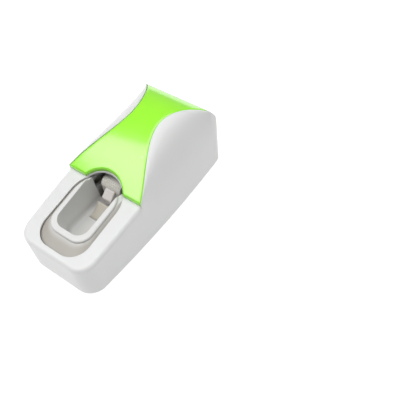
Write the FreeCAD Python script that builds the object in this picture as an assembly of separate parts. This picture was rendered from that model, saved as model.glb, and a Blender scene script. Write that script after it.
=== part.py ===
"""Wall-mounted toothpaste dispenser: a moulded shell with a coloured front cover, a push cup on a pivoted
lever, and a small piston pump that draws paste from an upturned tube and lays it on the brush in the cup.

Millimetres. The dispenser lies on its back: +Z points out of the wall, +Y to the end that takes the tube,
and the origin is the middle of the back, on the wall's surface.
"""

import FreeCAD
import Part
import math
import os

V = FreeCAD.Vector

# Outline of the body, seen from the front
PLAIN_LENGTH = 58.5
COVER_LENGTH = 85.5
TUBE_END_LENGTH = 12.0
HALF_WIDTH = 33.5
SIDE_SAG = 3.0
BOTTOM_CORNER_R = 13.0
TOP_CORNER_R = 10.0

# Front of the body, seen from the side
FACE_TOP_Z = 40.2
FACE_DROP = 10.0
RAMP_RISE = 13.0
CROWN_RISE = 21.0
BROW_RISE = 12.5
TOP_TANGENT_Z = 20.0
EDGE_R = 3.0

# Places along the cover, as shares of its length from the lower edge
RAMP_AT = 0.287
CROWN_AT = 0.614
SHOULDER_AT = 0.80
CLIP_AT = (0.37, 0.74)

# Coloured cover
COVER_T = 3.0
COVER_GAP = 0.12
COVER_EDGE_R = 1.2
TIP_BORDER = 0.6
BROW_BORDER = 2.1
RAMP_HALF = 20.7
WAIST_HALF = 12.2
SHOULDER_HALF = 16.4
LOBE_ANGLE = 15.0
LOBE_FULLNESS = 0.85
LOBE_FOOT = 0.6
CLIP_X = 7.0
CLIP_W = 6.0
CLIP_T = 1.6
CLIP_DEPTH = 5.0
CLIP_GAP = 0.2

# Shell
WALL = 2.2
POCKET_FLOOR = 1.4
STATIONS = 16

# Window and the rim around it
WINDOW_BORDER = 13.0
WINDOW_MARGIN = 5.0
WINDOW_CORNER_R = 14.0
WINDOW_REVEAL = 0.35
ARCH_RISE = 8.5

# Back plate, its screws and the mounting tape
PLATE_T = 2.0
PLATE_GAP = 0.15
SCREW_R = 1.5
SCREW_LENGTH = 13.0
SCREW_HEAD_R = 2.8
SCREW_HEAD_T = 1.2
SCREW_GAP = 0.2
THREAD_GAP = 0.05
BOSS_R = 3.6
BOSS_Z = 22.0
BOSS_SINK = 0.4
BOSS_LOW_END = 22.0
BOSS_HIGH_END = 26.0
TAPE_T = 1.0
TAPE_WIDTH = 40.0
TAPE_LENGTH = 26.0
TAPE_LOW_END = 30.0
TAPE_HIGH_END = 38.0

# Push cup and its lever
CUP_SIDE_GAP = 3.0
CUP_END_GAP = 10.0
CUP_PROUD = 2.0
CUP_SIDE_WALL = 3.0
CUP_END_WALL = 3.0
CUP_DRAFT = 3.6
CUP_CORNER_R = 8.0
CUP_BACK_Z = 16.0
CUP_FLOOR_T = 2.2
CUP_SKIN = 1.4
CUP_FLOOR_R = 3.5
CUP_LIP_T = 2.6
CUP_LIP_R = 1.5
CUP_LIP_DEPTH = 1.9
SKIRT_DROP = 2.6
SKIRT_REACH = 1.2
FLOOR_GAP = 2.0
WALL_OVERLAP = 8.0
WALL_DROP = 2.5
ARM_T = 3.0
ARM_LOW_Z = 16.0
ARM_HIGH_Z = 26.0
ARM_ROOT = 6.0
EAR_R = 5.5
BRIDGE_R = 2.5
CONTACT_GAP = 0.3
PAD_EDGE = 1.2
PAD_RISE = 8.0
PAD_LENGTH = 12.0
PAD_LOW_HALF = 7.6
PAD_WAIST_HALF = 6.4
PAD_HIGH_HALF = 9.4
PAD_GAP = 1.4

# Pivot
PIVOT_BACK = 6.5
PIVOT_Z = 20.0
PIVOT_R = 2.0
PIVOT_GAP = 0.05
BRACKET_T = 3.0
BRACKET_GAP = 0.4
BRACKET_HALF = 6.0
PIN_OVERHANG = 1.0

# Pump
PUMP_BORE_R = 8.0
PUMP_WALL = 2.0
PUMP_FLOOR = 1.5
PUMP_TOP_Z = 18.0
CAP_T = 2.0
PISTON_R = 7.0
PISTON_Z = 12.5
PISTON_T = 2.5
SEAL_GAP = 0.05
STEM_R = 3.0
STEM_GAP = 0.15
HEAD_R = 6.2
HEAD_T = 1.5
SPRING_R = 4.6
SPRING_WIRE = 0.9
SPRING_TURNS = 4
SPRING_LENGTH = 8.5
SPRING_GAP = 0.05

# Paste line
OUTLET_LENGTH = 6.0
PORT_R = 1.5
PORT_Z = 7.5
SPIGOT_R = 2.4
SPIGOT_LENGTH = 5.0
TUBE_BORE_R = 2.5
TUBE_R = 4.0
VALVE_T = 1.5
FIT_GAP = 0.1

# Socket for the upturned toothpaste tube
SOCKET_Z = 17.0
SOCKET_R = 13.4
SOCKET_BORE_R = 11.4
SOCKET_LENGTH = 25.9
SOCKET_FLOOR = 2.5
SOCKET_GAP = 0.3
SLEEVE_BORE_R = 6.75
SLEEVE_LENGTH = 18.0
SLEEVE_LIP = 1.6
SLEEVE_LIP_R = 13.2

# Nozzle, seen at the top of the window
NOZZLE_GAP = 6.0
NOZZLE_SHOW = 4.7
NOZZLE_DEPTH = 11.7
NOZZLE_DROP = 2.4
NOZZLE_BROW_R = 5.0
NOZZLE_RIBS = 5
RIB_PITCH = 1.3
RIB_DEPTH = 0.4
TIP_HALF_X = 4.2
TIP_LENGTH = 6.3
TIP_HEIGHT = 8.9
TIP_CLEAR = 5.5
TIP_LEDGE = 0.8
TIP_SLOPE = 4.4
TIP_SLOT = 0.7
TIP_BORE_R = 1.8

# Heights and places that follow from the sizes above
BODY_LENGTH = PLAIN_LENGTH + COVER_LENGTH + TUBE_END_LENGTH
FAR = 2 * BODY_LENGTH
BOTTOM_Y = -BODY_LENGTH / 2
TOP_Y = BODY_LENGTH / 2
COVER_Y = BOTTOM_Y + PLAIN_LENGTH
BROW_Y = COVER_Y + COVER_LENGTH
RAMP_Y = COVER_Y + RAMP_AT * COVER_LENGTH
CROWN_Y = COVER_Y + CROWN_AT * COVER_LENGTH
SHOULDER_Y = COVER_Y + SHOULDER_AT * COVER_LENGTH
CLIP_Y = [COVER_Y + share * COVER_LENGTH for share in CLIP_AT]
COVER_LOW_Z = FACE_TOP_Z + COVER_T
RAMP_Z = COVER_LOW_Z + RAMP_RISE
CROWN_Z = COVER_LOW_Z + CROWN_RISE
BROW_Z = COVER_LOW_Z + BROW_RISE
FACE_SLOPE = FACE_DROP / PLAIN_LENGTH
SIDE_R = (TOP_Y**2 + SIDE_SAG**2) / (2 * SIDE_SAG)
PLATE_Z = TAPE_T + PLATE_T
BOSS_Y = [BOTTOM_Y + BOSS_LOW_END, TOP_Y - BOSS_HIGH_END]
TAPE_Y = [BOTTOM_Y + TAPE_LOW_END, TOP_Y - TAPE_HIGH_END]
WINDOW_HALF = HALF_WIDTH - WINDOW_BORDER
WINDOW_BOTTOM_Y = BOTTOM_Y + WINDOW_MARGIN
WINDOW_TOP_Y = COVER_Y + ARCH_RISE
ARCH_Y = WINDOW_TOP_Y - WINDOW_HALF
CUP_OUTER_HALF = WINDOW_HALF - CUP_SIDE_GAP
CUP_HALF = CUP_OUTER_HALF - CUP_SIDE_WALL
CUP_END_Y = WINDOW_BOTTOM_Y + CUP_END_GAP
NOZZLE_HALF = CUP_HALF - NOZZLE_GAP
NOZZLE_Y0 = WINDOW_TOP_Y - NOZZLE_SHOW
NOZZLE_Y1 = NOZZLE_Y0 + NOZZLE_DEPTH
NOZZLE_Z = FACE_TOP_Z - NOZZLE_DROP
CUP_FLOOR_END_Y = NOZZLE_Y0 - FLOOR_GAP
CUP_WALL_END_Y = NOZZLE_Y0 + WALL_OVERLAP
CUP_WALL_Z = FACE_TOP_Z - WALL_DROP
SKIRT_HIGH = CUP_PROUD - CUP_LIP_DEPTH
SKIRT_LOW = SKIRT_HIGH - SKIRT_DROP
PAD_HIGH_Y = NOZZLE_Y0 - TIP_LENGTH - PAD_GAP
PAD_LOW_Y = PAD_HIGH_Y - PAD_LENGTH
ARM_X = CUP_OUTER_HALF - ARM_T
TIP_LOW_Z = CUP_BACK_Z + CUP_FLOOR_T + TIP_CLEAR
TIP_Z = TIP_LOW_Z + (TIP_HEIGHT - TIP_SLOPE) / 2
PUMP_R = PUMP_BORE_R + PUMP_WALL
PUMP_Y = NOZZLE_Y1 + OUTLET_LENGTH + PUMP_R
HEAD_Z = PUMP_TOP_Z + CAP_T + SPRING_LENGTH + 2 * SPRING_GAP
SOCKET_END_Y = TOP_Y - SLEEVE_LIP
SOCKET_START_Y = SOCKET_END_Y - SOCKET_LENGTH
PIVOT_Y = SOCKET_START_Y - PIVOT_BACK


def half_width(y):
    """Half the body's width at a station: both sides are shallow arcs."""
    return HALF_WIDTH - SIDE_R + math.sqrt(SIDE_R**2 - y**2)


def face_z(y):
    """Height of the plain front face below the cover."""
    return FACE_TOP_Z + FACE_SLOPE * (y - COVER_Y)


def smooth(points):
    """A smooth function through a few (station, value) points."""
    curve = Part.BSplineCurve()
    curve.interpolate([V(y, value, 0) for y, value in points])
    edge = curve.toShape()

    def value_at(y):
        line = Part.makeLine(V(y, -FAR, 0), V(y, FAR, 0))
        return edge.distToShape(line)[1][0][0].y

    return value_at


cover_z = smooth([(COVER_Y, COVER_LOW_Z), (RAMP_Y, RAMP_Z), (CROWN_Y, CROWN_Z), (BROW_Y, BROW_Z)])
cover_half = smooth([(COVER_Y, half_width(COVER_Y) - TIP_BORDER), (RAMP_Y, RAMP_HALF), (CROWN_Y, WAIST_HALF),
                     (SHOULDER_Y, SHOULDER_HALF), (BROW_Y, half_width(BROW_Y) - BROW_BORDER)])
LOFT_Y = [COVER_Y + (BROW_Y - COVER_Y) * k / (STATIONS - 1) for k in range(STATIONS)]


def box(x0, x1, y0, y1, z0, z1):
    return Part.makeBox(x1 - x0, y1 - y0, z1 - z0, V(x0, y0, z0))


def mirror_box(x0, x1, y0, y1, z0, z1):
    """A box and its mirror image across the middle plane."""
    return [box(x0, x1, y0, y1, z0, z1), box(-x1, -x0, y0, y1, z0, z1)]


def post(radius, x, y, z0, z1):
    """A round post along Z."""
    return Part.makeCylinder(radius, z1 - z0, V(x, y, z0))


def rod_y(radius, y0, y1, z, x=0.0):
    """A round rod along Y."""
    return Part.makeCylinder(radius, y1 - y0, V(x, y0, z), V(0, 1, 0))


def rod_x(radius, x0, x1, y, z):
    """A round rod along X."""
    return Part.makeCylinder(radius, x1 - x0, V(x0, y, z), V(1, 0, 0))


def fuse(first, *others):
    return first.multiFuse(list(others)).removeSplitter()


def arc(a, middle, b):
    return Part.Arc(a, middle, b).toShape()


def line(a, b):
    return Part.makeLine(a, b)


def prism(edges, z0, z1, shift=V(0, 0, 0)):
    """A solid on a closed outline at z0, drawn up to z1, with its top moved by shift."""
    face = Part.Face(Part.Wire(Part.sortEdges(edges)[0]))
    face.translate(V(0, 0, z0))
    return face.extrude(V(shift.x, shift.y, z1 - z0))


def slab_above(points):
    """Everything above a line in the YZ plane, as wide as any piece."""
    y0, y1 = points[0][0], points[-1][0]
    corners = [V(-FAR, y, z) for y, z in points] + [V(-FAR, y1, FAR), V(-FAR, y0, FAR)]
    return Part.Face(Part.makePolygon(corners + corners[:1])).extrude(V(2 * FAR, 0, 0))


def rounded_end(half, y_end, radius, y_far, sign):
    """Edges of an outline with two round corners at y_end and square ends at y_far."""
    s = sign * radius
    cut = radius * (1 - math.sqrt(0.5))
    a = V(-half, y_far, 0)
    b = V(-half, y_end + s, 0)
    c = V(-half + radius, y_end, 0)
    d = V(half - radius, y_end, 0)
    e = V(half, y_end + s, 0)
    f = V(half, y_far, 0)
    return [line(a, b), arc(b, V(-half + cut, y_end + sign * cut, 0), c), line(c, d),
            arc(d, V(half - cut, y_end + sign * cut, 0), e), line(e, f), line(f, a)]


def arched_end(inset, y_end, radius, y_far):
    """Edges of the body's outline from y_far to one end: arched sides that run into round corners."""
    sign = -1 if y_end < 0 else 1
    side_r = SIDE_R - inset
    side_x = HALF_WIDTH - SIDE_R
    r = radius - inset
    end = y_end - sign * inset
    centre_y = end - sign * r
    centre_x = side_x + math.sqrt((side_r - r)**2 - centre_y**2)
    lean = math.asin(centre_y / (side_r - r))
    middle = (lean + sign * math.pi / 2) / 2
    touch = V(side_x + side_r * math.cos(lean), side_r * math.sin(lean), 0)
    crest = V(centre_x + r * math.cos(middle), centre_y + r * math.sin(middle), 0)
    foot = V(centre_x, end, 0)
    start = V(half_width(y_far) - inset, y_far, 0)
    belly_y = (y_far + touch.y) / 2
    belly = V(side_x + math.sqrt(side_r**2 - belly_y**2), belly_y, 0)
    right = [arc(start, belly, touch), arc(touch, crest, foot)]
    left = [arc(flip(foot), flip(crest), flip(touch)), arc(flip(touch), flip(belly), flip(start))]
    return right + [line(foot, flip(foot))] + left + [line(flip(start), start)]


def flip(v):
    return V(-v.x, v.y, v.z)


# Body form: an envelope that the shell, its hollow and the back plate all take from one set of sizes

def side_profile(y, inset, drop):
    """Foot, two handles and top of one side of the body's section."""
    half = half_width(y) - inset
    top = cover_z(y) - drop
    rim = cover_half(y) - inset
    reach = (half - rim) * LOBE_FULLNESS
    slope = math.tan(math.radians(LOBE_ANGLE))
    belly = V(half, y, LOBE_FOOT * top)
    return V(half, y, 0), belly, V(rim + reach, y, top - reach * slope), V(rim, y, top)


def section(y, inset, drop):
    """The body's closed section at a station above the cover's lower edge."""
    right = side_profile(y, inset, drop)
    left = [flip(v) for v in right]
    curves = []
    for side in (right, left):
        curve = Part.BezierCurve()
        curve.setPoles(list(side))
        curves.append(curve.toShape())
    base, crest = line(left[0], right[0]), line(right[3], left[3])
    return Part.Wire(Part.sortEdges([base, curves[0], crest, curves[1]])[0])


def upper_form(inset, drop, y_end):
    """The humped upper part of the body, carried on square past the cover's top edge."""
    humps = Part.makeLoft([section(y, inset, drop) for y in LOFT_Y], True, False)
    tail = Part.Face(section(BROW_Y, inset, drop)).extrude(V(0, y_end - BROW_Y, 0))
    return humps.fuse(tail)


def lower_form(inset, drop):
    """The plain lower part of the body with its sloping front face and round corners."""
    y0, y1 = BOTTOM_Y - EDGE_R, COVER_Y + EDGE_R
    above = slab_above([(y0, face_z(y0) - drop), (y1, face_z(y1) - drop)])
    return prism(arched_end(inset, BOTTOM_Y, BOTTOM_CORNER_R, COVER_Y), 0, FACE_TOP_Z + EDGE_R).cut(above)


def soften(body):
    """Rounds the edge between the plain front face and the sides."""
    edges = []
    for edge in body.Edges:
        middle = edge.CenterOfMass
        rim = all(abs(v.Z - face_z(v.Y)) < FACE_SLOPE for v in edge.Vertexes)
        if rim and middle.y < COVER_Y - EDGE_R / 2:
            edges.append(edge)
    return body.makeFillet(EDGE_R, edges)


def tube_end(inset):
    """What lies beyond the tube end, which curves down from the brow to upright."""
    rise, reach = BROW_Z - TOP_TANGENT_Z, TOP_Y - BROW_Y
    r = (rise**2 + reach**2) / (2 * reach)
    drum = rod_x(r - inset, -FAR, FAR, TOP_Y - r, TOP_TANGENT_Z)
    wall = box(-FAR, FAR, TOP_Y - r, TOP_Y - inset, -FAR, TOP_TANGENT_Z)
    return box(-FAR, FAR, TOP_Y - r, FAR, -FAR, FAR).cut(drum).cut(wall)


def envelope(inset, drop):
    """The body's whole outer form, or the same form taken in for its hollow."""
    upper = upper_form(inset, drop, TOP_Y)
    y_far = BROW_Y - TOP_CORNER_R
    near = upper.common(box(-FAR, FAR, COVER_Y, y_far, 0, FAR))
    corners = prism(arched_end(inset, TOP_Y, TOP_CORNER_R, y_far), 0, FAR)
    far = upper.common(corners).cut(tube_end(inset))
    lower = lower_form(inset, POCKET_FLOOR) if inset else soften(lower_form(0.0, 0.0))
    return near.fuse(far).fuse(lower).removeSplitter()


def window_outline(gap, end_gap):
    """The window's outline taken in by a gap, and by more at its lower end."""
    half = WINDOW_HALF - gap
    centre = ARCH_Y
    low = WINDOW_BOTTOM_Y + end_gap
    r = WINDOW_CORNER_R - gap
    cut = r * (1 - math.sqrt(0.5))
    a, b = V(-half, centre, 0), V(-half, low + r, 0)
    c, d = V(-half + r, low, 0), V(half - r, low, 0)
    e, f = V(half, low + r, 0), V(half, centre, 0)
    return [line(a, b), arc(b, V(-half + cut, low + cut, 0), c), line(c, d),
            arc(d, V(half - cut, low + cut, 0), e), line(e, f), arc(f, V(0, centre + half, 0), a)]


def cover_strip(side_gap, below, above):
    """A slab that follows the cover's hourglass outline and its arch."""
    wires = []
    for y in LOFT_Y:
        half = cover_half(y) - side_gap
        low, high = cover_z(y) - below, cover_z(y) + above
        corners = [V(-half, y, low), V(half, y, low), V(half, y, high), V(-half, y, high)]
        wires.append(Part.makePolygon(corners + corners[:1]))
    return Part.makeLoft(wires, True, False)


def clip_boxes(gap, below, above):
    """Four snap tabs under the cover, or their slots."""
    tabs = []
    half = CLIP_W / 2 + gap
    for y in CLIP_Y:
        z = cover_z(y)
        tabs += mirror_box(CLIP_X - gap, CLIP_X + CLIP_T + gap, y - half, y + half, z - below, z - above)
    return tabs


def screw_places():
    return [(s * (half_width(y) - WALL - BOSS_R + BOSS_SINK), y) for y in BOSS_Y for s in (-1, 1)]


def make_shell():
    """White moulded shell, open at the back, with the window, the cover's pocket and screw bosses."""
    outer = envelope(0.0, 0.0)
    hollow = envelope(WALL, COVER_T + POCKET_FLOOR)
    shell = outer.cut(hollow)
    for x, y in screw_places():
        boss = post(BOSS_R, x, y, PLATE_Z, BOSS_Z).common(outer)
        shell = shell.fuse(boss).cut(post(SCREW_R + THREAD_GAP, x, y, 0, TAPE_T + SCREW_LENGTH + THREAD_GAP))
    slots = clip_boxes(CLIP_GAP, COVER_T + CLIP_DEPTH, 0.0)
    shell = shell.cut(fuse(cover_strip(0.0, COVER_T, COVER_T), *slots))
    shell = shell.cut(prism(window_outline(0.0, 0.0), PLATE_Z, FAR))
    shell = shell.cut(box(-FAR, FAR, -FAR, FAR, -FAR, TAPE_T))
    return shell.cut(rod_y(SOCKET_R + SOCKET_GAP, SOCKET_START_Y, FAR, SOCKET_Z))


def on_cover_top(edge):
    """Whether an edge bounds the cover's outer face."""
    span = edge.LastParameter - edge.FirstParameter
    points = [edge.valueAt(edge.FirstParameter + span * share) for share in (0.1, 0.5, 0.9)]
    return all(abs(p.z - cover_z(p.y)) < COVER_T / 20 for p in points)


def make_cover():
    """Coloured hourglass cover with an arch over the window and four snap tabs."""
    strip = cover_strip(COVER_GAP, COVER_T - COVER_GAP, 0.0)
    arch = prism(window_outline(-WINDOW_REVEAL, 0.0), 0, FAR)
    cover = strip.cut(arch)
    cover = cover.makeFillet(COVER_EDGE_R, [edge for edge in cover.Edges if on_cover_top(edge)])
    return fuse(cover, *clip_boxes(0.0, COVER_T + CLIP_DEPTH, COVER_T - 2 * COVER_GAP))


def make_back_plate():
    """Plate that closes the back, with the lever's two bracket ears and holes for its screws."""
    inset = WALL + PLATE_GAP
    plate = envelope(inset, COVER_T + POCKET_FLOOR).common(box(-FAR, FAR, -FAR, FAR, TAPE_T, PLATE_Z))
    inner = CUP_OUTER_HALF + BRACKET_GAP
    y0, y1 = PIVOT_Y - BRACKET_HALF, PIVOT_Y + BRACKET_HALF
    for ear in mirror_box(inner, inner + BRACKET_T, y0, y1, PLATE_Z - PLATE_T / 2, PIVOT_Z):
        plate = plate.fuse(ear)
    for s in (-1, 1):
        x0 = inner if s > 0 else -inner - BRACKET_T
        plate = plate.fuse(rod_x(BRACKET_HALF, x0, x0 + BRACKET_T, PIVOT_Y, PIVOT_Z))
    plate = plate.cut(rod_x(PIVOT_R, -FAR, FAR, PIVOT_Y, PIVOT_Z))
    for x, y in screw_places():
        plate = plate.cut(post(SCREW_R + SCREW_GAP, x, y, 0, PLATE_Z))
        plate = plate.cut(post(SCREW_HEAD_R + SCREW_GAP, x, y, 0, TAPE_T + SCREW_HEAD_T))
    return plate.removeSplitter()


def make_screws():
    """Four flat-headed screws from the back plate into the shell's bosses."""
    screws = []
    for x, y in screw_places():
        head = post(SCREW_HEAD_R, x, y, TAPE_T, TAPE_T + SCREW_HEAD_T)
        shank = post(SCREW_R, x, y, TAPE_T + SCREW_HEAD_T, TAPE_T + SCREW_LENGTH)
        half = SCREW_HEAD_R / 2
        recess = box(x - half, x + half, y - SCREW_GAP, y + SCREW_GAP, TAPE_T, TAPE_T + SCREW_HEAD_T / 2)
        screws.append(head.fuse(shank).removeSplitter().cut(recess))
    return Part.makeCompound(screws)


def make_tape():
    """Two pads of foam mounting tape on the back plate."""
    return Part.makeCompound([box(-TAPE_WIDTH / 2, TAPE_WIDTH / 2, y - TAPE_LENGTH / 2, y + TAPE_LENGTH / 2, 0, TAPE_T)
                              for y in TAPE_Y])


# Lever body

def on_face(solid):
    """A solid made flat over the window's outline, tilted onto the plain front face."""
    y = (WINDOW_BOTTOM_Y + WINDOW_TOP_Y) / 2
    solid.rotate(V(0, y, 0), V(1, 0, 0), math.degrees(math.atan(FACE_SLOPE)))
    solid.translate(V(0, 0, face_z(y)))
    return solid


def at_height(edges, z):
    """The closed wire of a flat outline, raised to a height."""
    wire = Part.Wire(Part.sortEdges(edges)[0])
    wire.translate(V(0, 0, z))
    return wire


def cup_skirt(skin):
    """The cup's flared outside, made flat: it widens until it reaches under the window's edge."""
    low = at_height(window_outline(skin - SKIRT_REACH, skin - SKIRT_REACH), SKIRT_LOW - skin)
    high = at_height(window_outline(CUP_SIDE_GAP + skin, CUP_END_GAP + skin), SKIRT_HIGH - skin)
    return Part.makeLoft([low, high], True, True)


def cup_lip(skin, top):
    """The cup's upright lip above its skirt, made flat."""
    return prism(window_outline(CUP_SIDE_GAP + skin, CUP_END_GAP + skin), SKIRT_HIGH - skin, top)


def cup_well(skin, z0):
    """The cup's tapered inside, or the outside of its wall, open at the nozzle's end."""
    end = CUP_END_Y + CUP_END_WALL
    far = WINDOW_TOP_Y + WINDOW_HALF
    wires = []
    for taper, z in ((CUP_DRAFT, z0), (0.0, face_z(WINDOW_TOP_Y) + 2 * CUP_PROUD)):
        half = CUP_HALF + skin - taper
        wires.append(at_height(rounded_end(half, end - skin + taper, CUP_CORNER_R + skin, far, 1), z))
    return Part.makeLoft(wires, True, True)


def make_push_cup():
    """Push cup with a round lip, a flared skirt and a tapered well, on two arms back to the pivot."""
    lip = cup_lip(0.0, CUP_PROUD)
    rim = [e for e in lip.Edges if all(v.Z > CUP_PROUD - CUP_LIP_R for v in e.Vertexes)]
    lip = lip.makeFillet(CUP_LIP_R, rim)
    outside = on_face(cup_skirt(0.0).fuse(lip))
    groove = on_face(cup_skirt(CUP_SKIN).fuse(cup_lip(CUP_SKIN, CUP_PROUD - CUP_LIP_T)))
    base = cup_well(CUP_SKIN, CUP_BACK_Z)
    floor_z = CUP_BACK_Z + CUP_FLOOR_T
    cavity = cup_well(0.0, floor_z)
    rims = [e for e in cavity.Edges if all(abs(v.Z - floor_z) < CONTACT_GAP / 10 for v in e.Vertexes)]
    cavity = cavity.makeFillet(CUP_FLOOR_R, [e for e in rims if e.BoundBox.YMin < CUP_FLOOR_END_Y])
    trough = base.common(box(-FAR, FAR, -FAR, CUP_WALL_END_Y, 0, CUP_WALL_Z))
    trough = trough.cut(on_face(box(-FAR, FAR, -FAR, FAR, 0, FAR)))
    roots = mirror_box(CUP_HALF - CUP_DRAFT, CUP_OUTER_HALF, ARCH_Y - ARM_ROOT, CUP_WALL_END_Y, ARM_LOW_Z, ARM_HIGH_Z)
    cup = fuse(outside.cut(groove.cut(base)), trough, *roots).cut(cavity)
    cup = cup.cut(box(-CUP_HALF, CUP_HALF, CUP_FLOOR_END_Y, FAR, 0, FAR))
    bridge_z = HEAD_Z + HEAD_T + CONTACT_GAP + BRIDGE_R
    arms = mirror_box(ARM_X, CUP_OUTER_HALF, ARCH_Y, PIVOT_Y, ARM_LOW_Z, ARM_HIGH_Z)
    posts = mirror_box(ARM_X, CUP_OUTER_HALF, PUMP_Y - BRIDGE_R, PUMP_Y + BRIDGE_R, ARM_LOW_Z, bridge_z)
    bridge = rod_x(BRIDGE_R, -CUP_OUTER_HALF, CUP_OUTER_HALF, PUMP_Y, bridge_z)
    ears = [rod_x(EAR_R, x, x + ARM_T, PIVOT_Y, PIVOT_Z) for x in (ARM_X, -CUP_OUTER_HALF)]
    for piece in arms + posts + [bridge] + ears:
        cup = cup.fuse(piece)
    return cup.cut(rod_x(PIVOT_R + PIVOT_GAP, -FAR, FAR, PIVOT_Y, PIVOT_Z)).removeSplitter()


def make_cup_pad():
    """Soft waisted pad at the head of the cup's floor, rising like a ramp to just under the nozzle tip."""
    z0 = CUP_BACK_Z + CUP_FLOOR_T
    a, b = V(-PAD_LOW_HALF, PAD_LOW_Y, 0), V(PAD_LOW_HALF, PAD_LOW_Y, 0)
    c, d = V(PAD_HIGH_HALF, PAD_HIGH_Y, 0), V(-PAD_HIGH_HALF, PAD_HIGH_Y, 0)
    waist = V(PAD_WAIST_HALF, (PAD_LOW_Y + PAD_HIGH_Y) / 2, 0)
    plan = prism([line(a, b), arc(b, waist, c), line(c, d), arc(d, flip(waist), a)], z0, FAR)
    return plan.cut(slab_above([(PAD_LOW_Y, z0 + PAD_EDGE), (PAD_HIGH_Y, z0 + PAD_RISE)]))


def make_pivot_pin():
    """Steel pin that the lever swings on, held in the bracket ears."""
    reach = CUP_OUTER_HALF + BRACKET_GAP + BRACKET_T + PIN_OVERHANG
    return rod_x(PIVOT_R, -reach, reach, PIVOT_Y, PIVOT_Z)


# Pump and paste line

def spigot(y0, y1):
    return rod_y(SPIGOT_R, y0, y1, PORT_Z)


def make_pump_cylinder():
    """Pump cylinder on the back plate, with an inlet and an outlet spigot."""
    reach = PUMP_R + SPIGOT_LENGTH
    body = post(PUMP_R, 0, PUMP_Y, PLATE_Z, PUMP_TOP_Z)
    body = body.fuse(spigot(PUMP_Y - reach, PUMP_Y + reach))
    body = body.cut(post(PUMP_BORE_R, 0, PUMP_Y, PLATE_Z + PUMP_FLOOR, PUMP_TOP_Z))
    return body.cut(rod_y(PORT_R, PUMP_Y - reach, PUMP_Y + reach, PORT_Z)).removeSplitter()


def make_pump_cap():
    """Ring that closes the cylinder and guides the plunger's stem."""
    z = PUMP_TOP_Z
    cap = post(PUMP_R, 0, PUMP_Y, z, z + CAP_T)
    return cap.cut(post(STEM_R + STEM_GAP, 0, PUMP_Y, z, z + CAP_T))


def make_plunger():
    """Plunger: piston disc, stem and the head that the lever's bridge pushes."""
    top = HEAD_Z + HEAD_T
    piston = post(PISTON_R, 0, PUMP_Y, PISTON_Z, PISTON_Z + PISTON_T)
    stem = post(STEM_R, 0, PUMP_Y, PISTON_Z + PISTON_T, top - HEAD_T)
    return fuse(piston, stem, post(HEAD_R, 0, PUMP_Y, top - HEAD_T, top))


def make_plunger_seal():
    """Rubber ring round the piston."""
    ring = post(PUMP_BORE_R - SEAL_GAP, 0, PUMP_Y, PISTON_Z, PISTON_Z + PISTON_T)
    return ring.cut(post(PISTON_R, 0, PUMP_Y, PISTON_Z, PISTON_Z + PISTON_T))


def arc_by_corner(a, corner, b):
    """The arc from a to b whose end tangents meet at a corner."""
    middle = (a + b) * 0.5
    half_chord = (a - middle).Length
    rise = (corner - middle).Length
    turn = math.atan2(rise, half_chord)
    sagitta = half_chord / math.sin(turn) * (1 - math.cos(turn))
    return arc(a, middle + (corner - middle) * (sagitta / rise), b)


def helix(radius, pitch, turns, z0):
    """A helix about the pump's axis as pairs of tangent arcs, a quarter turn each."""
    lead = pitch / (2 * math.pi)
    unit = math.hypot(radius, lead)
    edges, points = [], []
    for k in range(4 * turns):
        ends = []
        for angle in (k * math.pi / 2, (k + 1) * math.pi / 2):
            at = V(radius * math.cos(angle), PUMP_Y + radius * math.sin(angle), z0 + lead * angle)
            ends.append((at, V(-radius * math.sin(angle), radius * math.cos(angle), lead) * (1 / unit)))
        (p, t), (q, u) = ends
        chord, both = q - p, t + u
        a, b, c = 2 * (1 - t.dot(u)), 2 * chord.dot(both), -chord.dot(chord)
        reach = (-b + math.sqrt(b * b - 4 * a * c)) / (2 * a)
        corner, other = p + t * reach, q - u * reach
        join = (corner + other) * 0.5
        edges += [arc_by_corner(p, corner, join), arc_by_corner(join, other, q)]
        points.append(p)
    return edges, points


def make_return_spring():
    """Compression spring round the stem, between the cap and the plunger's head."""
    r = SPRING_WIRE / 2
    z0 = PUMP_TOP_Z + CAP_T + SPRING_GAP + r
    pitch = (SPRING_LENGTH - SPRING_WIRE) / SPRING_TURNS
    edges, points = helix(SPRING_R, pitch, SPRING_TURNS, z0)
    print("return spring: least gap between its turns %.2f mm" % (pitch - SPRING_WIRE))
    tangent = V(0, SPRING_R, pitch / (2 * math.pi))
    ring = Part.Wire(Part.Circle(points[0], tangent, r).toShape())
    return Part.Wire(edges).makePipeShell([ring], True, False)


def make_feed_tube():
    """Silicone tube from the socket's spigot to the pump's inlet."""
    y0 = PUMP_Y + PUMP_R
    return rod_y(TUBE_R, y0, SOCKET_START_Y, PORT_Z).cut(rod_y(TUBE_BORE_R, y0, SOCKET_START_Y, PORT_Z))


def make_outlet_tube():
    """Silicone tube from the pump's outlet to the nozzle housing."""
    y1 = PUMP_Y - PUMP_R
    return rod_y(TUBE_R, NOZZLE_Y1, y1, PORT_Z).cut(rod_y(TUBE_BORE_R, NOZZLE_Y1, y1, PORT_Z))


def make_inlet_valve():
    """Flap valve seated against the pump's inlet spigot."""
    y = PUMP_Y + PUMP_R + SPIGOT_LENGTH
    return rod_y(TUBE_BORE_R - FIT_GAP, y, y + VALVE_T, PORT_Z)


def make_outlet_valve():
    """Flap valve seated in the nozzle housing's throat."""
    return rod_y(TUBE_BORE_R - FIT_GAP, NOZZLE_Y1 - VALVE_T, NOZZLE_Y1, PORT_Z)


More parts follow.
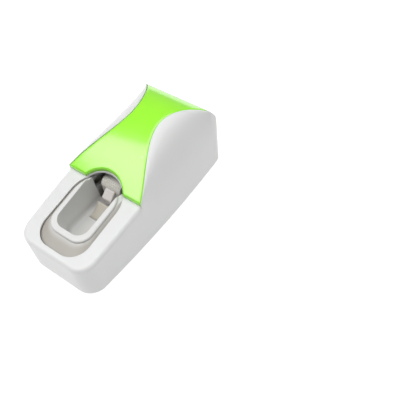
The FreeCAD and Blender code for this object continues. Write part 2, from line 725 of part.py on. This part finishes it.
def make_tube_socket():
    """Socket that takes the neck of the upturned tube, with a spigot for the feed tube."""
    y0 = SOCKET_START_Y
    bore = rod_y(SOCKET_BORE_R, y0 + SOCKET_FLOOR, SOCKET_END_Y, SOCKET_Z)
    body = rod_y(SOCKET_R, y0, SOCKET_END_Y, SOCKET_Z).cut(bore)
    body = body.fuse(spigot(y0 - SPIGOT_LENGTH, y0 + SOCKET_FLOOR))
    return body.cut(rod_y(PORT_R, y0 - SPIGOT_LENGTH, y0 + SOCKET_FLOOR, PORT_Z)).removeSplitter()


def make_socket_sleeve():
    """Silicone sleeve that grips the tube's neck, with a lip over the socket's rim."""
    y1 = SOCKET_END_Y + SLEEVE_LIP
    sleeve = rod_y(SOCKET_BORE_R - FIT_GAP, y1 - SLEEVE_LENGTH, SOCKET_END_Y, SOCKET_Z)
    sleeve = sleeve.fuse(rod_y(SLEEVE_LIP_R, SOCKET_END_Y, y1, SOCKET_Z))
    return sleeve.cut(rod_y(SLEEVE_BORE_R, y1 - SLEEVE_LENGTH, y1, SOCKET_Z)).removeSplitter()


def make_nozzle_housing():
    """Nozzle housing with a ribbed, rounded brow and a passage up from the outlet tube to the tip."""
    body = box(-NOZZLE_HALF, NOZZLE_HALF, NOZZLE_Y0, NOZZLE_Y1, PLATE_Z, NOZZLE_Z)
    r = NOZZLE_BROW_R
    corner = box(-NOZZLE_HALF, NOZZLE_HALF, NOZZLE_Y0, NOZZLE_Y0 + r, NOZZLE_Z - r, NOZZLE_Z)
    body = body.cut(corner.cut(rod_x(r, -NOZZLE_HALF, NOZZLE_HALF, NOZZLE_Y0 + r, NOZZLE_Z - r)))
    for k in range(NOZZLE_RIBS):
        angle = math.radians(95 + RIB_PITCH / r * 180 / math.pi * (k + 1))
        y = NOZZLE_Y0 + r + r * math.cos(angle)
        z = NOZZLE_Z - r + r * math.sin(angle)
        body = body.cut(rod_x(RIB_DEPTH, -NOZZLE_HALF, NOZZLE_HALF, y, z))
    throat = (NOZZLE_Y0 + NOZZLE_Y1) / 2
    body = body.cut(rod_y(TUBE_BORE_R, throat, NOZZLE_Y1, PORT_Z))
    body = body.cut(post(TUBE_BORE_R, 0, throat, PORT_Z, TIP_Z))
    return body.cut(rod_y(TUBE_BORE_R, NOZZLE_Y0, throat, TIP_Z)).removeSplitter()


def make_nozzle_tip():
    """Soft nozzle tip: a sloped face with a slit mouth, under the brow of the housing."""
    y0, y1 = NOZZLE_Y0 - TIP_LENGTH, NOZZLE_Y0
    top = TIP_LOW_Z + TIP_HEIGHT
    body = box(-TIP_HALF_X, TIP_HALF_X, y0, y1, TIP_LOW_Z, top)
    body = body.cut(slab_above([(y0, top - TIP_SLOPE), (y1 - TIP_LEDGE, top)]))
    mouth = box(-TIP_BORE_R, TIP_BORE_R, y0, y1, TIP_Z - TIP_SLOT / 2, TIP_Z + TIP_SLOT / 2)
    passage = rod_y(TIP_BORE_R, y1 - TIP_LENGTH / 4, y1, TIP_Z)
    return body.cut(mouth.fuse(passage))


PIECES = {
    "front_shell": make_shell,
    "front_cover": make_cover,
    "back_plate": make_back_plate,
    "back_screws": make_screws,
    "mounting_tape": make_tape,
    "push_cup": make_push_cup,
    "cup_pad": make_cup_pad,
    "pivot_pin": make_pivot_pin,
    "pump_cylinder": make_pump_cylinder,
    "pump_cap": make_pump_cap,
    "plunger": make_plunger,
    "plunger_seal": make_plunger_seal,
    "return_spring": make_return_spring,
    "feed_tube": make_feed_tube,
    "outlet_tube": make_outlet_tube,
    "inlet_valve": make_inlet_valve,
    "outlet_valve": make_outlet_valve,
    "tube_socket": make_tube_socket,
    "socket_sleeve": make_socket_sleeve,
    "nozzle_housing": make_nozzle_housing,
    "nozzle_tip": make_nozzle_tip,
}

os.makedirs("parts", exist_ok=True)
for node, make in PIECES.items():
    shape = make()
    shape.exportStep("parts/%s.step" % node)
    print("%-16s solids %d valid %s volume %.1f" % (node, len(shape.Solids), shape.isValid(), shape.Volume))
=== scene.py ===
import bmesh
import bpy
import math
from mathutils import Matrix, Vector


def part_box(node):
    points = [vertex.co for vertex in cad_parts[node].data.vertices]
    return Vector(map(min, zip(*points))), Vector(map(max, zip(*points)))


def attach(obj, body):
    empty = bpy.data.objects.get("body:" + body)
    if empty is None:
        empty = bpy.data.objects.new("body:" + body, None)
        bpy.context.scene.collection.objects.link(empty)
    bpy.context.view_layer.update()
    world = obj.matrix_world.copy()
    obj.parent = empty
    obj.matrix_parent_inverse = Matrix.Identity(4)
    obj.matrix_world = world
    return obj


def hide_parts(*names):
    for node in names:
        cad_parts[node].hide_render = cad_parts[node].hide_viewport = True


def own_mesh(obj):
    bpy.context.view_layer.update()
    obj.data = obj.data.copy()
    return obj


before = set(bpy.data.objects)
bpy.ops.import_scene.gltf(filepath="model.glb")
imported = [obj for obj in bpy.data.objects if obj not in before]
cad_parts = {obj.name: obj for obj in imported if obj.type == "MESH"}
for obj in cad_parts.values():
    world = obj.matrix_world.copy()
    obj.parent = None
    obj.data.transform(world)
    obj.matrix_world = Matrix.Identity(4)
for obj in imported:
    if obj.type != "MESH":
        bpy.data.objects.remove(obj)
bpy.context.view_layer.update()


# Front shell: one white ABS moulding with the window, the lobes beside the cover and the tube end.
# It is semi-gloss from a polished mould, with the faint unevenness that thick mouldings show, and it lets
# a little light in.
class Wire:
    """A shader socket that can stand in a sum. node() adds any other kind of node to the same material."""

    def __init__(self, tree, socket=None):
        self.tree = tree
        self.socket = socket

    def node(self, kind, settings, sockets, output=0):
        made = self.tree.nodes.new("ShaderNode" + kind)
        for name, value in settings.items():
            setattr(made, name, value)
        for name, value in sockets.items():
            if isinstance(value, Wire):
                self.tree.links.new(value.socket, made.inputs[name])
            else:
                made.inputs[name].default_value = value
        return Wire(self.tree, made.outputs[output])

    def maths(self, operation, a, b):
        return self.node("Math", {"operation": operation}, {0: a, 1: b})

    def __add__(self, other):
        return self.maths("ADD", self, other)

    def __sub__(self, other):
        return self.maths("SUBTRACT", self, other)

    def __rsub__(self, other):
        return self.maths("SUBTRACT", other, self)

    def __mul__(self, other):
        return self.maths("MULTIPLY", self, other)

    __radd__ = __add__
    __rmul__ = __mul__

    def ramp(self, low, high):
        """0 below low and 1 above high, with a soft step between."""
        return self.node("MapRange", {"interpolation_type": "SMOOTHSTEP"},
                         {"Value": self, "From Min": low, "From Max": high})

    def blend(self, a, b):
        """A colour that goes from a to b as this wire goes from 0 to 1."""
        a, b = (c if isinstance(c, Wire) else (*c, 1) for c in (a, b))
        return self.node("Mix", {"data_type": "RGBA"}, {"Factor": self, "A": a, "B": b}, 2)


def finish(name, fixed):
    """A new material, its Principled shader with the fixed values set, and a wire to start from."""
    material = bpy.data.materials.new(name)
    material.use_nodes = True
    shader = material.node_tree.nodes["Principled BSDF"]
    for socket, value in fixed.items():
        shader.inputs[socket].default_value = value
    return material, shader, Wire(material.node_tree)


def feed(shader, **wires):
    """Links wires to the shader's sockets, named with underscores for spaces."""
    for name, wire in wires.items():
        wire.tree.links.new(wire.socket, shader.inputs[name.replace("_", " ")])


def moulded(name, pale, deep, gloss, edge_mm, fixed, tint=None):
    """Moulded plastic: a slow drift of tone, a fine skin from the mould and softly rounded edges.
    tint(start, place, tone) may colour a region of the moulding."""
    material, shader, start = finish(name, fixed)
    place = start.node("TexCoord", {}, {}, "Object")
    drift = start.node("TexNoise", {}, {"Vector": place, "Scale": 38.0, "Detail": 3.0, "Roughness": 0.55})
    flow = start.node("TexNoise", {}, {"Vector": place, "Scale": 150.0, "Detail": 2.0, "Roughness": 0.5})
    skin = start.node("TexNoise", {}, {"Vector": place, "Scale": 2600.0, "Detail": 2.0, "Roughness": 0.6})
    tone = drift.blend(pale, deep)
    if tint:
        tone = tint(start, place, tone)
    edge = start.node("Bevel", {"samples": 8}, {"Radius": edge_mm / 1000})
    grain = start.node("Bump", {}, {"Strength": 0.05, "Distance": 0.0002, "Height": skin * 0.6 + flow * 0.4,
                                    "Normal": edge})
    feed(shader, Base_Color=tone, Roughness=gloss + 0.10 * (flow - 0.5), Normal=grain)
    return material


def dress(node, material):
    """Gives a solid of the frame its finish."""
    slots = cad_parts[node].data.materials
    slots.clear()
    slots.append(material)


satin = {"Specular IOR Level": 0.4, "Coat Weight": 0.08, "Coat Roughness": 0.15, "Subsurface Weight": 0.3,
         "Subsurface Radius": (0.0025, 0.0024, 0.0022), "Subsurface Scale": 1.0}
white_abs = moulded("white ABS", (0.76, 0.765, 0.76), (0.73, 0.735, 0.73), 0.34, 0.5, satin)
dress("front_shell", white_abs)


# Front cover: a separate lime moulding, 3 mm thick, snapped into the shell's pocket by four tabs.
# Its face is polished, and its rolled edges that face the user's end are painted a deeper green as painted
# shade.
def lime_edge_shade(start, _, tone):
    """Painted shade: a deeper green on the rolled edges that face the user's end, where the moulding rolls
    over.
    """
    rolled = start.node("Bevel", {"samples": 8}, {"Radius": 0.0026})
    lean = start.node("SeparateXYZ", {}, {"Vector": rolled}, 1)
    # Painted shade: the deeper green follows which way the edge faces, not a colour of the plastic.
    return (0 - lean).ramp(0.56, 0.72).blend(tone, (0.27, 0.80, 0.006))


lime_abs = moulded("lime ABS", (0.36, 0.97, 0.024), (0.34, 0.94, 0.018), 0.25, 2.4,
                   {"Specular IOR Level": 0.7, "Coat Weight": 1.0, "Coat Roughness": 0.12,
                    "Subsurface Weight": 0.3, "Subsurface Radius": (0.0015, 0.002, 0.0005),
                    "Subsurface Scale": 1.0}, lime_edge_shade)
dress("front_cover", lime_abs)


# Push cup: a white moulding with a round lip and a flared skirt that closes the window behind it.
# The skirt in the gap around the lip is painted beige and the well's floor a darker grey, both as painted
# shade in the recesses.
face_top_y, face_top_z, face_slope = -0.0195, 0.0402, 0.171
lip_corner_x, lip_corner_y = 0.0065, -0.052


def skirt_and_well_shade(start, place, tone):
    """Painted shade: beige below the shell's sloping face and outside the lip, and a darker grey floor low in
    the well.
    """
    x, y, z = (start.node("SeparateXYZ", {}, {"Vector": place}, k) for k in range(3))
    under_lip = 1 - (z - (face_top_z + face_slope * (y - face_top_y))).ramp(-0.0010, 0.0008)
    side = start.maths("MAXIMUM", start.maths("ABSOLUTE", x, 0.0) - lip_corner_x, 0.0)
    end = start.maths("MAXIMUM", lip_corner_y - y, 0.0)
    outside = start.maths("POWER", side * side + end * end, 0.5).ramp(0.0103, 0.0111)
    # Painted shade: the well's floor darkens towards the bottom.
    floor_shade = 1 - z.ramp(0.014, 0.026)
    inside = floor_shade.blend(tone, (0.46, 0.455, 0.445))
    return (under_lip * outside).blend(inside, (0.44, 0.42, 0.38))


cup_abs = moulded("cup ABS", (0.73, 0.73, 0.72), (0.70, 0.70, 0.69), 0.36, 0.5, satin, skirt_and_well_shade)
dress("push_cup", cup_abs)


# Cup pad: a ramp of beige silicone at the head of the cup's floor, waisted, with rolled edges and a
# slight crown. The brush head is pushed against it.
def rubber(name, pale, deep, gloss, fixed):
    """Silicone rubber: milky, with a dusty bloom and a fine orange-peel skin."""
    material, shader, start = finish(name, {"Specular IOR Level": 0.35, "Subsurface Weight": 0.25,
                                            "Subsurface Radius": (0.003, 0.0026, 0.002),
                                            "Subsurface Scale": 1.0, **fixed})
    place = start.node("TexCoord", {}, {}, "Object")
    bloom = start.node("TexNoise", {}, {"Vector": place, "Scale": 220.0, "Detail": 4.0, "Roughness": 0.6})
    peel = start.node("TexNoise", {}, {"Vector": place, "Scale": 1900.0, "Detail": 2.0, "Roughness": 0.5})
    skin = start.node("Bump", {}, {"Strength": 0.12, "Distance": 0.0002, "Height": peel})
    feed(shader, Base_Color=bloom.blend(pale, deep), Roughness=gloss + 0.16 * (bloom - 0.5), Normal=skin)
    return material


def new_piece(name, mesh, material, body, slot, *nodes):
    """A smooth-shaded mesh as a piece of the object, riding on a body and standing for CAD nodes."""
    piece = bpy.data.objects.new(name, mesh)
    bpy.context.collection.objects.link(piece)
    mesh.materials.append(material)
    for face in mesh.polygons:
        face.use_smooth = True
    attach(piece, body)
    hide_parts(*nodes)
    return piece


beige_silicone = rubber("beige silicone", (0.48, 0.45, 0.385), (0.42, 0.39, 0.33), 0.50, {})
low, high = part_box("cup_pad")
low_half, high_half, waist_draw = 0.0076, 0.0094, 0.0084
pad_edge, pad_rise, pad_crown = 0.0012, 0.0068, 0.05
across, along = 28, 24
pad_points, pad_faces = [], []
for j in range(along + 1):
    v = 0.5 - 0.5 * math.cos(math.pi * j / along)
    half = low_half + (high_half - low_half) * v - waist_draw * v * (1 - v)
    rise = (pad_edge + pad_rise * v) / (1 + pad_crown)
    for i in range(across + 1):
        u = -math.cos(math.pi * i / across)
        roll = (1 - abs(u)**7)**0.5 * (1 - abs(2 * v - 1)**12)**0.5
        crown = 1 + pad_crown * (1 - u * u)
        pad_points.append((u * half, low[1] + v * (high[1] - low[1]), low[2] + rise * roll * crown))
for j in range(along):
    for i in range(across):
        a = j * (across + 1) + i
        pad_faces.append((a, a + 1, a + across + 2, a + across + 1))
rim = list(range(across + 1))
rim += [(j + 1) * (across + 1) - 1 for j in range(1, along + 1)]
rim += [along * (across + 1) + i for i in range(across - 1, -1, -1)]
rim += [j * (across + 1) for j in range(along - 1, 0, -1)]
pad_faces.append(tuple(reversed(rim)))
pad_mesh = bpy.data.meshes.new("ramp_pad")
pad_mesh.from_pydata(pad_points, [], pad_faces)
new_piece("ramp_pad", pad_mesh, beige_silicone, "lever", "silicone", "cup_pad")


# Nozzle housing: a grey-beige moulding with a ribbed brow that shows at the top of the window.
nozzle_abs = moulded("nozzle ABS", (0.66, 0.645, 0.59), (0.60, 0.585, 0.53), 0.42, 0.2,
                     {"Specular IOR Level": 0.4})
dress("nozzle_housing", nozzle_abs)


# Nozzle tip: a soft pale block under the brow, its face sloped towards the brush and all its edges
# rounded. The paste leaves by a slit in its nose.
pale_silicone = rubber("pale silicone", (0.68, 0.64, 0.62), (0.63, 0.59, 0.57), 0.42,
                       {"Subsurface Weight": 0.2})
low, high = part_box("nozzle_tip")
tip_slope, tip_ledge, tip_round = 0.0044, 0.0008, 0.0007
slit_half, slit_reach, slit_depth = 0.0003, 0.0022, 0.0016
nose_top = high[2] - tip_slope
ledge = high[1] - tip_ledge
outline = [(high[1], low[2]), (low[1], low[2]), (low[1], nose_top), (ledge, high[2]), (high[1], high[2])]
form = bmesh.new()
sides = [[form.verts.new((x, y, z)) for y, z in outline] for x in (low[0], high[0])]
form.faces.new(sides[0])
form.faces.new(list(reversed(sides[1])))
for k in range(len(outline)):
    m = (k + 1) % len(outline)
    form.faces.new((sides[0][m], sides[0][k], sides[1][k], sides[1][m]))
soft_edges = [e for e in form.edges if any(v.co.y < high[1] - 0.0001 for v in e.verts)]
bmesh.ops.bevel(form, geom=soft_edges, offset=tip_round, segments=4, profile=0.5, affect="EDGES",
                clamp_overlap=True)
slit_z = (low[2] + nose_top) / 2
for side, normal in (((-slit_reach, 0, 0), (1, 0, 0)), ((slit_reach, 0, 0), (1, 0, 0)),
                     ((0, 0, slit_z - slit_half), (0, 0, 1)), ((0, 0, slit_z + slit_half), (0, 0, 1))):
    whole = form.verts[:] + form.edges[:] + form.faces[:]
    bmesh.ops.bisect_plane(form, geom=whole, plane_co=side, plane_no=normal)
mouth = [f for f in form.faces if f.normal.y < -0.9 and abs(f.calc_center_median().x) < slit_reach
         and abs(f.calc_center_median().z - slit_z) < slit_half]
pushed = bmesh.ops.extrude_face_region(form, geom=mouth)["geom"]
bmesh.ops.delete(form, geom=mouth, context="FACES")
inner = [v for v in pushed if isinstance(v, bmesh.types.BMVert)]
bmesh.ops.translate(form, vec=(0, slit_depth, 0), verts=inner)
bmesh.ops.recalc_face_normals(form, faces=form.faces[:])
tip_mesh = bpy.data.meshes.new("soft_tip")
form.to_mesh(tip_mesh)
form.free()
new_piece("soft_tip", tip_mesh, pale_silicone, "housing", "tip_silicone", "nozzle_tip")


# Back plate, its screws and the pivot pin: the plate is moulded like the shell but left matt, since
# it faces the wall. The screws and the pin are drawn steel.
matt_abs = moulded("matt white ABS", (0.80, 0.80, 0.79), (0.76, 0.76, 0.75), 0.48, 0.3,
                   {"Specular IOR Level": 0.4})
dress("back_plate", matt_abs)

steel, shader, start = finish("drawn steel", {"Metallic": 1.0})
place = start.node("TexCoord", {}, {}, "Object")
drawn = start.node("Mapping", {}, {"Vector": place, "Scale": (60.0, 2400.0, 2400.0)})
streaks = start.node("TexNoise", {}, {"Vector": drawn, "Scale": 1.0, "Detail": 3.0})
lines = start.node("Bump", {}, {"Strength": 0.08, "Distance": 0.0001, "Height": streaks})
feed(shader, Base_Color=streaks.blend((0.62, 0.62, 0.63), (0.48, 0.48, 0.50)),
     Roughness=0.24 + 0.16 * streaks, Normal=lines)
for node in ("pivot_pin", "back_screws"):
    dress(node, steel)


# Mounting tape: two pads of closed-cell foam with die-cut edges that bulge a little, under a printed
# release film of pale green.
foam, shader, start = finish("foam tape", {"Specular IOR Level": 0.2})
place = start.node("TexCoord", {}, {}, "Object")
cells = start.node("TexVoronoi", {"feature": "F1"}, {"Vector": place, "Scale": 1500.0})
film = start.node("SeparateXYZ", {}, {"Vector": place}, 2).ramp(0.0001, 0.00016)
pits = start.node("Bump", {}, {"Strength": 0.3, "Distance": 0.0002, "Height": cells * film})
feed(shader, Base_Color=film.blend((0.42, 0.66, 0.46), cells.blend((0.86, 0.85, 0.80), (0.74, 0.73, 0.68))),
     Roughness=0.35 + 0.5 * film, Normal=pits)
low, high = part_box("mounting_tape")
pad_length, tape_corner, tape_bulge = 0.026, 0.002, 0.00025
tape = bmesh.new()
for y0, y1 in ((low[1], low[1] + pad_length), (high[1] - pad_length, high[1])):
    corners = bmesh.ops.create_cube(tape, size=1.0)["verts"]
    bmesh.ops.scale(tape, vec=(high[0] - low[0], y1 - y0, high[2] - low[2]), verts=corners)
    bmesh.ops.translate(tape, vec=(0, (y0 + y1) / 2, (low[2] + high[2]) / 2), verts=corners)
upright = [e for e in tape.edges if abs(e.verts[0].co.z - e.verts[1].co.z) > 0.0005]
bmesh.ops.bevel(tape, geom=upright, offset=tape_corner, segments=5, profile=0.5, affect="EDGES")
rims = [e for e in tape.edges if abs(e.verts[0].co.z - e.verts[1].co.z) < 0.0001 and len(e.link_faces) == 2
        and e.calc_face_angle(0) > 1.0]
bmesh.ops.bevel(tape, geom=rims, offset=tape_bulge, segments=3, profile=0.5, affect="EDGES")
tape_mesh = bpy.data.meshes.new("tape_pads")
tape.to_mesh(tape_mesh)
tape.free()
new_piece("tape_pads", tape_mesh, foam, "housing", "foam_tape", "mounting_tape")


# Pump and tube socket: cylinder, cap, plunger and socket in natural polypropylene, slightly waxy.
natural_pp = moulded("natural polypropylene", (0.74, 0.74, 0.71), (0.68, 0.68, 0.65), 0.44, 0.3,
                     {"Specular IOR Level": 0.4, "Subsurface Weight": 0.15, "Subsurface Scale": 1.0,
                      "Subsurface Radius": (0.002, 0.002, 0.0018)})
for node in ("pump_cylinder", "pump_cap", "plunger", "tube_socket"):
    dress(node, natural_pp)


# Soft parts of the paste line: valves, tubes, the plunger's ring and the sleeve for the paste tube.
for node in ("plunger_seal", "feed_tube", "outlet_tube", "inlet_valve", "outlet_valve", "socket_sleeve"):
    dress(node, beige_silicone)


# Return spring: 0.8 mm steel wire wound round the plunger's stem, closed at both ends.
low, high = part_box("return_spring")
wire_r, stroke = 0.0004, 0.0028
coil_r = (high[0] - low[0]) / 2 - wire_r
base_z, top_z = low[2] + wire_r, high[2] - wire_r
centre_y = (low[1] + high[1]) / 2
turns, steps, round_steps = 5, 36, 10
spring_points, spring_faces = [], []
for k in range(turns * steps + 1):
    share = k / (turns * steps)
    angle = 2 * math.pi * turns * share
    climb = min(max((share - 0.12) / 0.76, 0.0), 1.0)
    out = Vector((math.cos(angle), math.sin(angle), 0))
    centre = Vector((0, centre_y, base_z + (top_z - base_z) * climb)) + out * coil_r
    for m in range(round_steps):
        turn = 2 * math.pi * m / round_steps
        lift = Vector((0, 0, wire_r * math.sin(turn)))
        spring_points.append(centre + out * (wire_r * math.cos(turn)) + lift)
for k in range(turns * steps):
    for m in range(round_steps):
        a, b = k * round_steps + m, k * round_steps + (m + 1) % round_steps
        spring_faces.append((a, a + round_steps, b + round_steps, b))
spring_faces.append(tuple(range(round_steps)))
spring_faces.append(tuple(range(turns * steps * round_steps, (turns * steps + 1) * round_steps))[::-1])
spring_mesh = bpy.data.meshes.new("wound_spring")
spring_mesh.from_pydata(spring_points, [], spring_faces)
spring = new_piece("wound_spring", spring_mesh, steel, "housing", "steel", "return_spring")
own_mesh(spring)


# Stage: a white light table under soft light from overhead, and the camera at the photograph's place.
floor_mesh = bpy.data.meshes.new("floor")
floor_mesh.from_pydata([(-4, -4, 0), (4, -4, 0), (4, 4, 0), (-4, 4, 0)], [], [(0, 1, 2, 3)])
floor = bpy.data.objects.new("floor", floor_mesh)
bpy.context.collection.objects.link(floor)
paper, shader, start = finish("white light table", {"Base Color": (0.3, 0.3, 0.3, 1), "Roughness": 0.9,
                                                    "Specular IOR Level": 0.1, "Emission Color": (1, 1, 1, 1),
                                                    "Emission Strength": 0.84})
floor_mesh.materials.append(paper)

world = bpy.data.worlds.new("studio")
world.use_nodes = True
world.node_tree.nodes["Background"].inputs["Color"].default_value = (1, 1, 1, 1)
world.node_tree.nodes["Background"].inputs["Strength"].default_value = 0.26
bpy.context.scene.world = world


def softbox(name, place, target, size, power):
    """A square soft light that faces a target."""
    light = bpy.data.lights.new(name, "AREA")
    light.shape = "SQUARE"
    light.size = size
    light.energy = power
    lamp = bpy.data.objects.new(name, light)
    lamp.location = place
    lamp.rotation_euler = (Vector(target) - Vector(place)).to_track_quat("-Z", "Y").to_euler()
    bpy.context.collection.objects.link(lamp)


middle = (0.0, 0.0, 0.03)
softbox("key", (-0.37, -0.34, 0.87), middle, 0.56, 3.9)
softbox("overhead", (0.05, 0.15, 0.95), middle, 0.8, 5.8)

view_right = Vector((0.820, 0.570, -0.0546)).normalized()
view_back = Vector((0.3744, -0.4626, 0.8035)).normalized()
view_up = view_back.cross(view_right).normalized()
view_right = view_up.cross(view_back)
focal_pixels, picture_pixels = 500, 416
camera_data = bpy.data.cameras.new("camera")
camera_data.sensor_width = 36.0
camera_data.lens = camera_data.sensor_width * focal_pixels / picture_pixels
camera = bpy.data.objects.new("camera", camera_data)
turned = Matrix((view_right, view_up, view_back)).transposed().to_4x4()
camera.matrix_world = Matrix.Translation((0.1928, -0.1476, 0.3030)) @ turned
bpy.context.collection.objects.link(camera)
bpy.context.scene.camera = camera
bpy.context.scene.view_settings.view_transform = "Standard"
